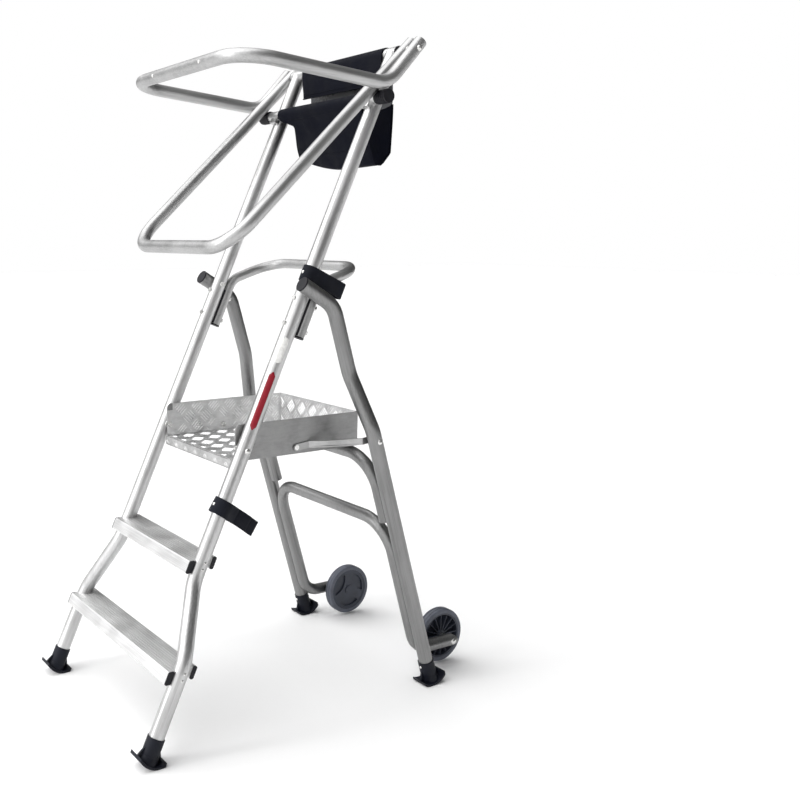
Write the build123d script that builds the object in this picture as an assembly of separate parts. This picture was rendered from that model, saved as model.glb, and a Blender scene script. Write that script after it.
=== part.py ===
from build123d import *
from math import atan2, cos, degrees, hypot, radians, sin, sqrt, tan
import os

# A folding aluminium platform ladder on wheels, standing open.
# X runs across the ladder, +Y is the direction a person climbs, +Z is up.
# The origin is on the floor, in the middle of the ladder's footprint. The design depths
# below count from where the front stiles' axes meet the floor.

# ---------------------------------------------------------------- driving dimensions
stile_diameter = 40.0
rail_diameter = 35.0
lower_crossbar_diameter = 30.0
knee_hoop_diameter = 28.0
tube_wall = 2.0

front_lean = 24.5
rear_lean = 16.8
stile_half_low = 306.0
stile_half_high = 219.0
joggle_bottom = 244.0
joggle_top = 408.0
stile_joggle_radius = 110.0

tread_rise = 233.0
tread_depth = 80.0
tread_front = 40.0
nosing_height = 31.0
nosing_width = 18.0
rear_chamber_width = 12.0
chamber_rounding = 4.5
tread_web = 4.0
tread_overhang = 4.0

top_crossbar_height = 1756.0
lower_crossbar_along = 144.0
lower_crossbar_forward = 19.5
lower_crossbar_half = 296.5

platform_half_width = 193.0
platform_front = 322.0
platform_depth = 399.0
platform_lip = 26.0
toe_board_height = 93.0
sheet = 3.0

rear_pivot_height = 1132.0
platform_pivot_height = 731.0
rear_leg_half_low = 309.0
rear_joggle_top = 911.0
rear_joggle_bottom = 760.0
link_pivot_height = 732.0
link_reach = 180.4
link_drop = 17.5
link_height = 18.0
link_sheet = 2.5

upper_rail_arm_angle = 46.7
upper_rail_arm = 130.0
upper_rail_front = 274.0
upper_rail_height = 1702.0
lower_rail_angle = 22.25
lower_rail_length = 744.0
upper_rail_tail = 28.0
lower_rail_tail = 36.0

knee_hoop_start = 1013.0
knee_hoop_back = 705.0
knee_hoop_height = 1192.0
knee_hoop_slope = 18.0
knee_spacer = 2.0

wheel_radius = 80.0
wheel_width = 28.0
wheel_half_track = 223.0
axle_back = 1015.0
axle_height = 95.0
axle_diameter = 12.0

floor_level = 8.0
sole_radius = 62.0
sole_flat = 0.5
foot_sleeve_diameter = 45.0
foot_sleeve_length = 68.0
foot_pad_width = 60.0
foot_pad_length = 76.0
foot_pad_thickness = 6.0
tube_end_height = 25.0

pivot_bolt_diameter = 10.0
link_pin_diameter = 8.0
pin_clearance = 0.05
running_gap = 0.5

# ---------------------------------------------------------------- derived places
stile_slope = tan(radians(front_lean))
leg_slope = tan(radians(rear_lean))
stile_radius = stile_diameter / 2
rail_radius = rail_diameter / 2
sin_front = sin(radians(front_lean))
cos_front = cos(radians(front_lean))

top_pivot = (stile_slope * top_crossbar_height, top_crossbar_height)
rear_pivot = (stile_slope * rear_pivot_height, rear_pivot_height)
platform_pivot = (stile_slope * platform_pivot_height, platform_pivot_height)
platform_top = 3 * tread_rise
platform_bottom = platform_top - sheet
toe_board_top = platform_top + toe_board_height
platform_rear = platform_front + platform_depth

crossbar_half = stile_half_high + stile_radius + 3.0
plug_flange = 3.0
lower_rail_half = crossbar_half + plug_flange + 1.5 + rail_radius
upper_rail_half = lower_rail_half + rail_diameter + 5.0
rear_leg_half_high = stile_half_high + stile_diameter + 3.0
hoop_half = rear_leg_half_low - stile_radius - rail_radius - running_gap

leg_bend = (581.0, 1093.0)
link_pivot = (leg_bend[0] + (leg_bend[1] - link_pivot_height) * leg_slope, link_pivot_height)
toe_pivot = (platform_pivot[0] + link_reach, platform_pivot[1] - link_drop)


sole_centre_height = floor_level + sole_radius - sole_flat
sole_end_depth = sqrt(sole_radius**2 - (foot_pad_length / 2) ** 2)
foot_front = stile_slope * sole_centre_height - foot_pad_length / 2 * cos_front - sole_end_depth * sin_front
footprint_middle = (foot_front + axle_back + wheel_radius) / 2


def stile_y(z):
    """Depth of the stile's axis at a height."""
    return stile_slope * z


def leg_y(z):
    """Depth of the rear leg's axis at a height."""
    return leg_bend[0] + (leg_bend[1] - z) * leg_slope


def beside_stile(along, forward):
    """A point measured down the stile from the top pivot, and forward of its axis."""
    y = top_pivot[0] - along * sin_front - forward * cos_front
    z = top_pivot[1] - along * cos_front + forward * sin_front
    return (y, z)


lower_crossbar_at = beside_stile(lower_crossbar_along, lower_crossbar_forward)


# ---------------------------------------------------------------- shape helpers
def path_through(points, radii):
    """Straight runs joined by tangent arcs."""
    if len(points) == 2:
        return Line(points[0], points[1])
    return FilletPolyline(*points, radius=radii)


def rod(points, radii, diameter):
    """A solid round bar along a path."""
    path = path_through(points, radii)
    section = Plane(origin=path @ 0, z_dir=path % 0) * Circle(diameter / 2)
    return sweep(section, path=path)


def tube(points, radii, diameter):
    """A round tube along a path, open at both ends."""
    return rod(points, radii, diameter) - rod(points, radii, diameter - 2 * tube_wall)


def box_between(x, y, z):
    """A box from three (low, high) pairs."""
    size = (x[1] - x[0], y[1] - y[0], z[1] - z[0])
    centre = ((x[0] + x[1]) / 2, (y[0] + y[1]) / 2, (z[0] + z[1]) / 2)
    return Pos(*centre) * Box(*size)


def x_pin(x_from, x_to, at, diameter):
    """A round pin along X, between two places across the ladder."""
    middle = (x_from + x_to) / 2
    return Pos(middle, at[0], at[1]) * Rot(0, 90, 0) * Cylinder(diameter / 2, abs(x_to - x_from))


def hex_head(x_from, x_to, at, across_flats):
    """A hexagon bolt head or nut along X."""
    low = min(x_from, x_to)
    blank = extrude(Plane.YZ * RegularPolygon(across_flats / sqrt(3), 6), abs(x_to - x_from))
    return Pos(low, at[0], at[1]) * blank


def dome(at, direction, diameter, height):
    """A low rivet head standing on a surface, with a short shank into it."""
    sphere_radius = (diameter**2 / 4 + height**2) / (2 * height)
    cap = Pos(0, 0, height - sphere_radius) * Sphere(sphere_radius)
    cap = cap & Pos(0, 0, height / 2) * Cylinder(diameter / 2, height)
    shank = Pos(0, 0, -1.0) * Cylinder(diameter / 4, 2.0)
    return Plane(origin=at, z_dir=direction) * (cap + shank)


def mirrored(shape):
    """The same piece on the other side of the ladder."""
    return mirror(shape, about=Plane.YZ)


def both_sides(shape):
    """One group of two separate pieces, left and right."""
    return [shape, mirrored(shape)]


nodes = {}


def keep(name, shape):
    """Store a node in the ladder's own frame: one solid, or a list of separate solids."""
    pieces = shape if isinstance(shape, list) else [shape]
    solids = [Pos(0, -footprint_middle, -floor_level) * solid for piece in pieces for solid in piece.solids()]
    nodes[name] = solids[0] if len(solids) == 1 else Compound(children=solids)


# ---------------------------------------------------------------- front frame: stiles
def stile_points(sign):
    return [
        (sign * stile_half_low, stile_y(tube_end_height), tube_end_height),
        (sign * stile_half_low, stile_y(joggle_bottom), joggle_bottom),
        (sign * stile_half_high, stile_y(joggle_top), joggle_top),
        (sign * stile_half_high, top_pivot[0], top_pivot[1]),
    ]


stile_radii = [stile_joggle_radius, stile_joggle_radius]
top_bar_blank = x_pin(-crossbar_half, crossbar_half, top_pivot, rail_diameter)
lower_bar_blank = x_pin(-lower_crossbar_half, lower_crossbar_half, lower_crossbar_at, lower_crossbar_diameter)
stile_blanks = {sign: rod(stile_points(sign), stile_radii, stile_diameter) for sign in (-1, 1)}


def stile(sign):
    """A bent stile, coped over the top crossbar, notched for the lower one and bored for its bolts."""
    shape = tube(stile_points(sign), stile_radii, stile_diameter) - top_bar_blank - lower_bar_blank
    for pivot in (rear_pivot, platform_pivot):
        shape -= x_pin(sign * 150, sign * 300, pivot, pivot_bolt_diameter)
    return shape


keep("stile_left", stile(-1))
keep("stile_right", stile(1))

# ---------------------------------------------------------------- front frame: crossbars
plug_length = 14.0
crossbar_cap_wall = 2.5
crossbar_cap_length = 45.0
crossbar_cap_ribs = 5

top_ends = [(-crossbar_half, *top_pivot), (crossbar_half, *top_pivot)]
keep("top_crossbar", tube(top_ends, [], rail_diameter))


def tube_plug(x_face, sign, at, diameter):
    """A plastic end plug: a flange on the tube's end and a body inside it, bored for a bolt."""
    flange = x_pin(x_face, x_face + sign * plug_flange, at, diameter)
    body = x_pin(x_face - sign * plug_length, x_face, at, diameter - 2 * tube_wall)
    return flange + body - x_pin(x_face - sign * 30, x_face + sign * 30, at, pivot_bolt_diameter)


keep("top_crossbar_plugs", both_sides(tube_plug(crossbar_half, 1, top_pivot, rail_diameter)))

lower_ends = [(-lower_crossbar_half, *lower_crossbar_at), (lower_crossbar_half, *lower_crossbar_at)]
keep("lower_crossbar", tube(lower_ends, [], lower_crossbar_diameter))


def crossbar_cap():
    """A ribbed rubber cap pushed over the end of the lower crossbar."""
    outer = lower_crossbar_diameter + 2 * crossbar_cap_wall
    start = lower_crossbar_half - crossbar_cap_length + crossbar_cap_wall
    end = lower_crossbar_half + crossbar_cap_wall
    cap = x_pin(start, end, lower_crossbar_at, outer)
    pitch = crossbar_cap_length / (crossbar_cap_ribs + 1)
    for index in range(crossbar_cap_ribs):
        rib_at = start + pitch * (index + 0.6)
        cap += x_pin(rib_at, rib_at + pitch / 2, lower_crossbar_at, outer + 2.0)
    return cap - lower_bar_blank


keep("lower_crossbar_caps", both_sides(crossbar_cap()))


def crossbar_saddle():
    """A clamp plate under the lower crossbar where it is bolted to the stile."""
    saddle_length = 30.0
    plane = Plane(
        origin=(stile_half_high, *beside_stile(lower_crossbar_along + 14, 24)),
        z_dir=(0, -cos_front, sin_front),
    )
    block = plane * Box(24, saddle_length, 12)
    return block - lower_bar_blank - stile_blanks[1]


keep("crossbar_saddles", both_sides(crossbar_saddle()))

# ---------------------------------------------------------------- front frame: treads
tread_wall = 2.5
groove_count = 9
groove_width = 1.4
groove_depth = 0.8
end_cap_thickness = 3.0


def tread_halves(level):
    """Half length of a tread: it ends just outside the stile's centre."""
    half = stile_half_low if level == 1 else stile_half_high
    return half + tread_overhang


def chamber(level, offset, width, inset=0.0):
    """The end view of a tread's hollow edge: a rounded bar that leans with the stile."""
    top = level * tread_rise - inset
    bottom = level * tread_rise - nosing_height + inset
    corners = [
        (stile_y(z) + offset + side, z)
        for z, side in ((top, inset), (bottom, inset), (bottom, width - inset), (top, width - inset))
    ]
    outline = make_face(Polyline(*corners, close=True))
    return Plane.YZ * fillet(outline.vertices(), chamber_rounding - inset)


chambers = (
    (-tread_front, nosing_width),
    (tread_depth - tread_front - rear_chamber_width, rear_chamber_width),
)


def tread(level):
    """An extruded tread: two hollow edges that lean with the stiles, and a ribbed web between."""
    top = level * tread_rise
    front = stile_y(top) - tread_front
    back = front + tread_depth
    half = tread_halves(level)
    web_ends = (front + nosing_width / 2, back - rear_chamber_width / 2)
    shape = box_between((-half, half), web_ends, (top - tread_web, top))
    for offset, width in chambers:
        shape += extrude(chamber(level, offset, width), half, both=True)
    for offset, width in chambers:
        shape -= extrude(chamber(level, offset, width, tread_wall), half + 1, both=True)
    pitch = (tread_depth - 12.0) / groove_count
    for index in range(groove_count):
        groove_at = front + 8.0 + pitch * index
        groove = ((-half - 1, half + 1), (groove_at, groove_at + groove_width), (top - groove_depth, top + 1))
        shape -= box_between(*groove)
    return shape - stile_blanks[-1] - stile_blanks[1]


def tread_caps(level):
    """Black plastic covers on the open ends of both hollow edges."""
    half = tread_halves(level)
    pieces = []
    for offset, width in chambers:
        cover = Pos(half, 0, 0) * extrude(chamber(level, offset, width), end_cap_thickness)
        pieces += both_sides(cover - stile_blanks[1])
    return pieces


def tread_rivets(level):
    """Two domed rivets on the outside of each stile, into the tread's fixing plates."""
    half = stile_half_low if level == 1 else stile_half_high
    pieces = []
    for drop in (8.0, 24.0):
        z = level * tread_rise - drop
        pieces += both_sides(dome((half + stile_radius, stile_y(z), z), (1, 0, 0), 8.0, 2.0))
    return pieces


keep("tread_lower", tread(1))
keep("tread_upper", tread(2))
keep("tread_end_caps", tread_caps(1) + tread_caps(2))
keep("tread_rivets", tread_rivets(1) + tread_rivets(2))


# ---------------------------------------------------------------- feet
def foot_plane(x, lean, axis_at_floor):
    """A plane square to the tube, at the centre of the sole's curve."""
    slope = tan(radians(lean))
    centre = (x, axis_at_floor + slope * sole_centre_height, sole_centre_height)
    along = (0, sin(radians(lean)), cos(radians(lean)))
    return Plane(origin=centre, x_dir=(1, 0, 0), z_dir=along)


def foot_web(thickness):
    """The upright web of the foot, from the sleeve down to the ends of the pad."""
    reach = foot_pad_length / 2 - 3
    low = foot_pad_thickness - 1 - sqrt(sole_radius**2 - reach**2)
    side = foot_sleeve_diameter / 2
    outline = Polyline(
        (-reach, -sole_radius), (-reach, low), (-side, -20), (side, -20), (reach, low), (reach, -sole_radius), close=True
    )
    return extrude(Plane.YZ * make_face(outline), thickness / 2, both=True)


def foot(x, lean, axis_at_floor):
    """A rubber foot square to its tube: a sleeve, and a thin rocker pad with an upright web."""
    shape = Pos(0, 0, -sole_radius / 2) * Box(foot_pad_width, foot_pad_length, sole_radius)
    shape -= Rot(0, 90, 0) * Cylinder(sole_radius - foot_pad_thickness, 2 * foot_pad_width)
    radius = foot_sleeve_diameter / 2
    sleeve_top = foot_sleeve_length - sole_radius
    shape += Pos(0, 0, (sleeve_top - 58) / 2) * Cylinder(radius, sleeve_top + 58)
    shape += Pos(0, 0, -48) * Cone(radius + 4.5, radius + 0.5, 20)
    shape += foot_web(6.0)
    shape = shape & extrude(RectangleRounded(foot_pad_width, foot_pad_length, 5.0), 2 * sole_radius, both=True)
    shape = shape & Rot(0, 90, 0) * Cylinder(sole_radius, 2 * foot_pad_width)
    placed = foot_plane(x, lean, axis_at_floor) * shape
    placed -= box_between((-600, 600), (-200, 1400), (-100, floor_level))
    slope = tan(radians(lean))
    bore_from = (x, axis_at_floor + slope * tube_end_height, tube_end_height)
    bore_to = (x, axis_at_floor + slope * 200, 200)
    return placed - rod([bore_from, bore_to], [], stile_diameter)


def foot_rivet(x, lean, axis_at_floor, facing):
    """The rivet that pins a foot's sleeve to its tube."""
    slope = tan(radians(lean))
    height = 57.0
    y = axis_at_floor + slope * height
    reach = foot_sleeve_diameter / 2
    return dome((x, y + facing * reach / cos(radians(lean)), height), (0, facing, 0), 8.0, 2.5)


front_foot = foot(stile_half_low, front_lean, 0.0)
keep("front_foot_right", front_foot)
keep("front_foot_left", mirrored(front_foot))
keep("front_foot_rivets", both_sides(foot_rivet(stile_half_low, front_lean, 0.0, 1)))

# ---------------------------------------------------------------- front frame: knee hoop
knee_radius = knee_hoop_diameter / 2
knee_offset = stile_radius + knee_radius + knee_spacer
knee_shift = knee_offset / cos_front


def knee_leg_y(z):
    return stile_y(z) + knee_shift


# Height of the stile's axis square across from the hoop's lower end.
knee_station = knee_hoop_start + knee_offset * sin_front

# The sloping top of the hoop meets its legs where the two lines cross.
knee_rise = tan(radians(knee_hoop_slope))
knee_corner_z = (
    knee_hoop_height - (knee_hoop_back - knee_shift) * knee_rise
) / (1 - stile_slope * knee_rise)
knee_points = [
    (stile_half_high, knee_leg_y(knee_hoop_start), knee_hoop_start),
    (stile_half_high, knee_leg_y(knee_corner_z), knee_corner_z),
    (stile_half_high, knee_hoop_back, knee_hoop_height),
    (-stile_half_high, knee_hoop_back, knee_hoop_height),
    (-stile_half_high, knee_leg_y(knee_corner_z), knee_corner_z),
    (-stile_half_high, knee_leg_y(knee_hoop_start), knee_hoop_start),
]
keep("knee_hoop", tube(knee_points, [55.0, 77.0, 77.0, 55.0], knee_hoop_diameter))

knee_plug_thickness = 4.0
down_stile = (0, -sin_front, -cos_front)


def knee_plug():
    """A black plug in the lower end of the knee hoop's leg."""
    end = (stile_half_high, knee_leg_y(knee_hoop_start), knee_hoop_start)
    plane = Plane(origin=end, z_dir=down_stile)
    flange = plane * Pos(0, 0, knee_plug_thickness / 2) * Cylinder(knee_radius, knee_plug_thickness)
    body = plane * Pos(0, 0, -6) * Cylinder(knee_radius - tube_wall, 12)
    return flange + body


def knee_spacer_strip():
    """A black strip that holds the hoop's leg off the stile."""
    strip_length = 104.0
    middle_z = knee_station + (strip_length / 2 + 1) * cos_front
    middle = (stile_half_high, stile_y(middle_z), middle_z)
    plane = Plane(origin=middle, x_dir=(1, 0, 0), z_dir=(0, cos_front, -sin_front))
    strip = plane * Pos(0, 0, stile_radius + knee_spacer / 2) * Box(18, strip_length, 12)
    leg_blank = rod(knee_points[:2], [], knee_hoop_diameter)
    return strip - stile_blanks[1] - leg_blank


knee_bolt_heights = (knee_station + 16, knee_station + 80)


def knee_bolt(z):
    """A bolt through the stile and the hoop's leg."""
    plane = Plane(origin=(stile_half_high, stile_y(z), z), z_dir=(0, cos_front, -sin_front))
    back = knee_offset + knee_radius
    head = plane * Pos(0, 0, -stile_radius - 2) * Cylinder(6.0, 4.0)
    nut = plane * Pos(0, 0, back + 2.5) * extrude(RegularPolygon(6.0, 6), 2.5, both=True)
    return [head, nut]


keep("knee_hoop_plugs", both_sides(knee_plug()))
keep("knee_hoop_spacers", both_sides(knee_spacer_strip()))
keep("knee_hoop_bolts", [p for z in knee_bolt_heights for end in knee_bolt(z) for p in both_sides(end)])

# ---------------------------------------------------------------- front frame: straps
strap_width = 42.0
strap_thickness = 3.5
strap_heights = {"strap_upper": 1173.0, "strap_lower": 588.0}
strap_loops = {"strap_upper": (20.5, 18.5, 92.0, 0.0, 0.0), "strap_lower": (24.0, 4.5, 50.0, 72.0, 9.0)}


def belt(big, small, reach):
    """The outline of a belt round a large circle and a small one behind it."""
    lean = (big - small) / reach
    side = sqrt(1 - lean**2)
    wedge = Polyline(
        (big * side, big * lean), (small * side, reach + small * lean),
        (-small * side, reach + small * lean), (-big * side, big * lean), close=True,
    )
    return Circle(big) + Pos(0, reach) * Circle(small) + make_face(wedge)


def strap_plane(z, droop):
    """The plane of a strap round the right stile: square to it, or drooping behind it."""
    lean = radians(front_lean + droop)
    return Plane(origin=(stile_half_high, stile_y(z), z), x_dir=(1, 0, 0), z_dir=(0, sin(lean), cos(lean)))


def strap(z, inner_radius, end_radius, reach, tail, droop):
    """A hook-and-loop strap round the right stile: a closed loop behind it, then a flat tail."""
    outer = belt(inner_radius + strap_thickness, end_radius, reach)
    inner = belt(inner_radius, end_radius - strap_thickness, reach)
    outline = outer - inner
    if tail:
        outline += Pos(0, reach + end_radius / 2 + tail / 2) * Rectangle(2 * strap_thickness, tail)
    return strap_plane(z, droop) * extrude(outline, strap_width / 2, both=True)


def strap_rivet(z, inner_radius, droop):
    """The rivet that holds a strap to the front of the stile."""
    front = Location((0, -inner_radius - strap_thickness, 0)) * Rot(90, 0, 0)
    return strap_plane(z, droop) * front * dome((0, 0, 0), (0, 0, 1), 9.0, 2.5)


for strap_name, strap_z in strap_heights.items():
    keep(strap_name, strap(strap_z, *strap_loops[strap_name]))
keep("strap_rivets", [strap_rivet(z, strap_loops[key][0], strap_loops[key][-1]) for key, z in strap_heights.items()])

# ---------------------------------------------------------------- front frame: fabric tool tray
fabric = 4.0
tray_half = 196.0
tray_bottom = 1464.0
tray_front_bottom = 766.0
tray_rear = 825.0
tray_rear_rise = 30.0
tray_bag_left = -164.0
sleeve_gap = 0.4
flap_length = 78.0


def tray_outline(inset):
    """The bag's side view: a front panel that slants back, a narrow floor and an upright rear panel."""
    front_top = (lower_crossbar_at[0] - 14 + inset, lower_crossbar_at[1] - 8)
    rear_top = (tray_rear - inset, top_pivot[1])
    return [
        front_top,
        (tray_front_bottom + inset, tray_bottom + inset),
        (tray_front_bottom + 22, tray_bottom + inset - 0.1),
        (tray_rear - inset, tray_bottom + inset + tray_rear_rise),
        rear_top,
    ]


def tray_slab(points, left, right):
    """A slab across the ladder with a side view given in Y and Z."""
    face = Plane.YZ * make_face(Polyline(*points, close=True))
    return Pos((left + right) / 2, 0, 0) * extrude(face, (right - left) / 2, both=True)


def tool_tray():
    """A fabric bag slung between the crossbars: open at the top, with a hanging flap."""
    inner_points = tray_outline(fabric)
    slant = (inner_points[1][0] - inner_points[0][0]) / (inner_points[0][1] - inner_points[1][1])
    inner_points[0] = (inner_points[0][0] - 150 * slant, inner_points[0][1] + 150)
    bag = tray_slab(tray_outline(0), tray_bag_left, tray_half)
    bag -= tray_slab(inner_points, tray_bag_left + fabric, tray_half - fabric)
    side_top = box_between(
        (-tray_half - 1, tray_half + 1), (0, tray_rear - fabric), (lower_crossbar_at[1] + 4, top_pivot[1] + 50)
    )
    bag -= side_top
    bag += box_between((tray_bag_left, tray_half), (tray_rear - fabric, tray_rear), (lower_crossbar_at[1], top_pivot[1]))
    bag += x_pin(-tray_half, tray_half, top_pivot, rail_diameter + 2 * sleeve_gap + 2 * fabric)
    bag += x_pin(-tray_half, tray_half, lower_crossbar_at, lower_crossbar_diameter + 2 * sleeve_gap + 2 * fabric)
    flap_front = top_pivot[0] - rail_radius - sleeve_gap - fabric
    bag += box_between(
        (-tray_half, tray_half),
        (flap_front, flap_front + fabric),
        (top_pivot[1] - flap_length, top_pivot[1]),
    )
    bag -= x_pin(-400, 400, top_pivot, rail_diameter + 2 * sleeve_gap)
    bag -= x_pin(-400, 400, lower_crossbar_at, lower_crossbar_diameter + 2 * sleeve_gap)
    return bag


keep("tool_tray", tool_tray())

# ---------------------------------------------------------------- platform
platform_walls = platform_half_width - sheet


def platform_tray():
    """One folded sheet: deck, two side toe boards, a rear toe board and a front lip."""
    deck = box_between(
        (-platform_half_width, platform_half_width), (platform_front, platform_rear), (platform_bottom, platform_top)
    )
    side = box_between(
        (platform_walls, platform_half_width), (platform_front + 3, platform_rear), (platform_bottom, toe_board_top)
    )
    rear = box_between(
        (-platform_half_width, platform_half_width), (platform_rear - sheet, platform_rear), (platform_bottom, toe_board_top)
    )
    lip = box_between(
        (-platform_half_width, platform_half_width),
        (platform_front, platform_front + sheet),
        (platform_top - platform_lip, platform_top),
    )
    shape = deck + side + mirrored(side) + rear + lip
    front_corners = shape.edges().filter_by(Axis.X).filter_by_position(Axis.Z, toe_board_top - 1, toe_board_top + 1)
    front_corners = front_corners.filter_by_position(Axis.Y, platform_front, platform_front + 10)
    shape = fillet(front_corners, 14.0)
    fold = shape.edges().filter_by(Axis.X).filter_by_position(Axis.Z, platform_top - 0.1, platform_top + 0.1)
    shape = fillet(fold.filter_by_position(Axis.Y, platform_front - 0.1, platform_front + 0.1), 2.9)
    bore = pivot_bolt_diameter + 2 * pin_clearance
    shape -= x_pin(-300, 300, platform_pivot, bore)
    return shape - x_pin(-300, 300, toe_pivot, link_pin_diameter)


link_vector = (link_pivot[0] - toe_pivot[0], link_pivot[1] - toe_pivot[1])
link_length = hypot(*link_vector)
link_angle = degrees(atan2(link_vector[1], link_vector[0]))
link_inner_x = platform_half_width + 1.5
link_outer_x = rear_leg_half_low - stile_radius - 6.5
keep("platform_tray", platform_tray())


def link_pin():
    """A rivet pin fixed through the toe board, on which the link turns."""
    reach = link_inner_x + link_sheet + 0.5
    pin = x_pin(platform_walls - 2, reach, toe_pivot, link_pin_diameter)
    inner_head = x_pin(platform_walls - 4, platform_walls, toe_pivot, link_pin_diameter + 8)
    outer_head = x_pin(reach, reach + 1.2, toe_pivot, link_pin_diameter + 6)
    return pin + inner_head + outer_head


keep("link_hinge_pins", both_sides(link_pin()))

# ---------------------------------------------------------------- link bars
link_straight = 40.0
link_end_straight = 24.0
link_flange = 9.0
flange_start = 46.0


def link_bar():
    """A cranked channel: flat beside the toe board, then slanting out to the rear leg."""
    end_radius = link_height / 2
    crank_end = link_length - link_end_straight
    run = [
        (link_inner_x, -end_radius),
        (link_inner_x, link_straight),
        (link_outer_x, crank_end),
        (link_outer_x, link_length + end_radius),
    ]
    web_outline = run + [(x + link_sheet, y) for x, y in reversed(run)]
    slant = (link_outer_x - link_inner_x) / (crank_end - link_straight)
    first = (link_inner_x + (flange_start - link_straight) * slant, flange_start)
    middle_x = link_inner_x + (crank_end / 2 - link_straight) * slant
    last_y = link_length - end_radius - 4
    flange_outline = [
        first, (link_outer_x, crank_end), (link_outer_x, last_y), (link_outer_x + 3, last_y),
        (link_outer_x + 3, crank_end), (middle_x + link_flange, crank_end / 2), (first[0] + 3, first[1]),
    ]
    web = extrude(make_face(Polyline(*web_outline, close=True)), link_height / 2, both=True)
    rounds = Pos(0, 0, 0) * Rot(0, 90, 0) * Cylinder(end_radius, 800)
    rounds += Pos(0, link_length, 0) * Rot(0, 90, 0) * Cylinder(end_radius, 800)
    rounds += box_between((-400, 400), (0, link_length), (-end_radius, end_radius))
    web = web & rounds
    for side in (-1, 1):
        level = side * (end_radius - link_sheet / 2)
        flange = extrude(make_face(Polyline(*flange_outline, close=True)), link_sheet / 2, both=True)
        web += Pos(0, 0, level) * flange
    web -= Rot(0, 90, 0) * Cylinder(link_pin_diameter / 2 + pin_clearance, 800)
    rear_boss = Pos(link_outer_x + link_sheet + 1, link_length, 0) * Rot(0, 90, 0) * Cylinder(6.0, 2.0)
    web += rear_boss
    return Pos(0, toe_pivot[0], toe_pivot[1]) * Rot(link_angle, 0, 0) * web


right_link = link_bar()
keep("link_right", right_link)
keep("link_left", mirrored(right_link))

# ---------------------------------------------------------------- rear frame
plug_direction = (leg_bend[0] - rear_pivot[0], leg_bend[1] - rear_pivot[1])
plug_unit = hypot(*plug_direction)
leg_tail = 39.0
leg_top = (
    rear_pivot[0] - leg_tail * plug_direction[0] / plug_unit,
    rear_pivot[1] - leg_tail * plug_direction[1] / plug_unit,
)


def rear_leg_points(sign):
    return [
        (sign * rear_leg_half_high, *leg_top),
        (sign * rear_leg_half_high, *leg_bend),
        (sign * rear_leg_half_high, leg_y(rear_joggle_top), rear_joggle_top),
        (sign * rear_leg_half_low, leg_y(rear_joggle_bottom), rear_joggle_bottom),
        (sign * rear_leg_half_low, leg_y(tube_end_height), tube_end_height),
    ]


rear_leg_radii = [70.0, 110.0, 110.0]
rear_bore = pivot_bolt_diameter + 2 * pin_clearance


def rear_leg(sign):
    """A bent rear leg, bored for the bolt it folds on and for the link's bolt."""
    leg = tube(rear_leg_points(sign), rear_leg_radii, stile_diameter)
    leg -= x_pin(sign * 180, sign * rear_leg_half_high, rear_pivot, rear_bore)
    return leg - x_pin(sign * 180, sign * 400, link_pivot, link_pin_diameter)


keep("rear_leg_left", rear_leg(-1))
keep("rear_leg_right", rear_leg(1))


def rear_plug():
    """A black plug in the upper end of the rear leg."""
    back = (0, -plug_direction[0] / plug_unit, -plug_direction[1] / plug_unit)
    plane = Plane(origin=(rear_leg_half_high, *leg_top), z_dir=back)
    flange = plane * Pos(0, 0, 2) * Cylinder(stile_radius, 4)
    flange = fillet(flange.edges().sort_by(Axis((rear_leg_half_high, *leg_top), back))[-1], 1.5)
    return flange + plane * Pos(0, 0, -7) * Cylinder(stile_radius - tube_wall, 14)


keep("rear_leg_plugs", both_sides(rear_plug()))

rear_foot = foot(rear_leg_half_low, -rear_lean, leg_y(0))
keep("rear_foot_right", rear_foot)
keep("rear_foot_left", mirrored(rear_foot))
keep("rear_foot_rivets", both_sides(foot_rivet(rear_leg_half_low, -rear_lean, leg_y(0), -1)))

platform_hoop_bottom = 495.0
hoop_radius = 95.0
platform_hoop_top = platform_bottom - rail_radius - running_gap
wheel_hoop_top = 487.0
wheel_bend_radius = 62.0

platform_hoop_points = [
    (hoop_half, leg_y(platform_hoop_bottom), platform_hoop_bottom),
    (hoop_half, leg_y(platform_hoop_top), platform_hoop_top),
    (-hoop_half, leg_y(platform_hoop_top), platform_hoop_top),
    (-hoop_half, leg_y(platform_hoop_bottom), platform_hoop_bottom),
]
keep("platform_hoop", tube(platform_hoop_points, [hoop_radius, hoop_radius], rail_diameter))

hoop_end = axle_back + rail_radius
wheel_hoop_points = [
    (hoop_half, hoop_end, axle_height),
    (hoop_half, leg_y(axle_height), axle_height),
    (hoop_half, leg_y(wheel_hoop_top), wheel_hoop_top),
    (-hoop_half, leg_y(wheel_hoop_top), wheel_hoop_top),
    (-hoop_half, leg_y(axle_height), axle_height),
    (-hoop_half, hoop_end, axle_height),
]
wheel_hoop_radii = [wheel_bend_radius, hoop_radius, hoop_radius, wheel_bend_radius]
axle_at = (axle_back, axle_height)


def wheel_hoop():
    """The lower hoop: its ends turn back and are rounded off round the axles."""
    hoop = tube(wheel_hoop_points, wheel_hoop_radii, rail_diameter)
    kept = box_between((-500, 500), (0, axle_back), (0, 1000)) + x_pin(-500, 500, axle_at, rail_diameter)
    hoop = hoop & kept
    return hoop - x_pin(-500, 500, axle_at, axle_diameter)


keep("wheel_hoop", wheel_hoop())


def hoop_end_plug():
    """A plug that closes the rounded end of the lower hoop."""
    body = rod([(hoop_half, axle_back - 18, axle_height), (hoop_half, hoop_end, axle_height)], [], rail_diameter - 2 * tube_wall)
    rounding = x_pin(0, 500, axle_at, rail_diameter - 1.0) + box_between((0, 500), (0, axle_back), (0, 1000))
    return (body & rounding) - x_pin(0, 500, axle_at, axle_diameter)


keep("wheel_hoop_plugs", both_sides(hoop_end_plug()))


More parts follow.
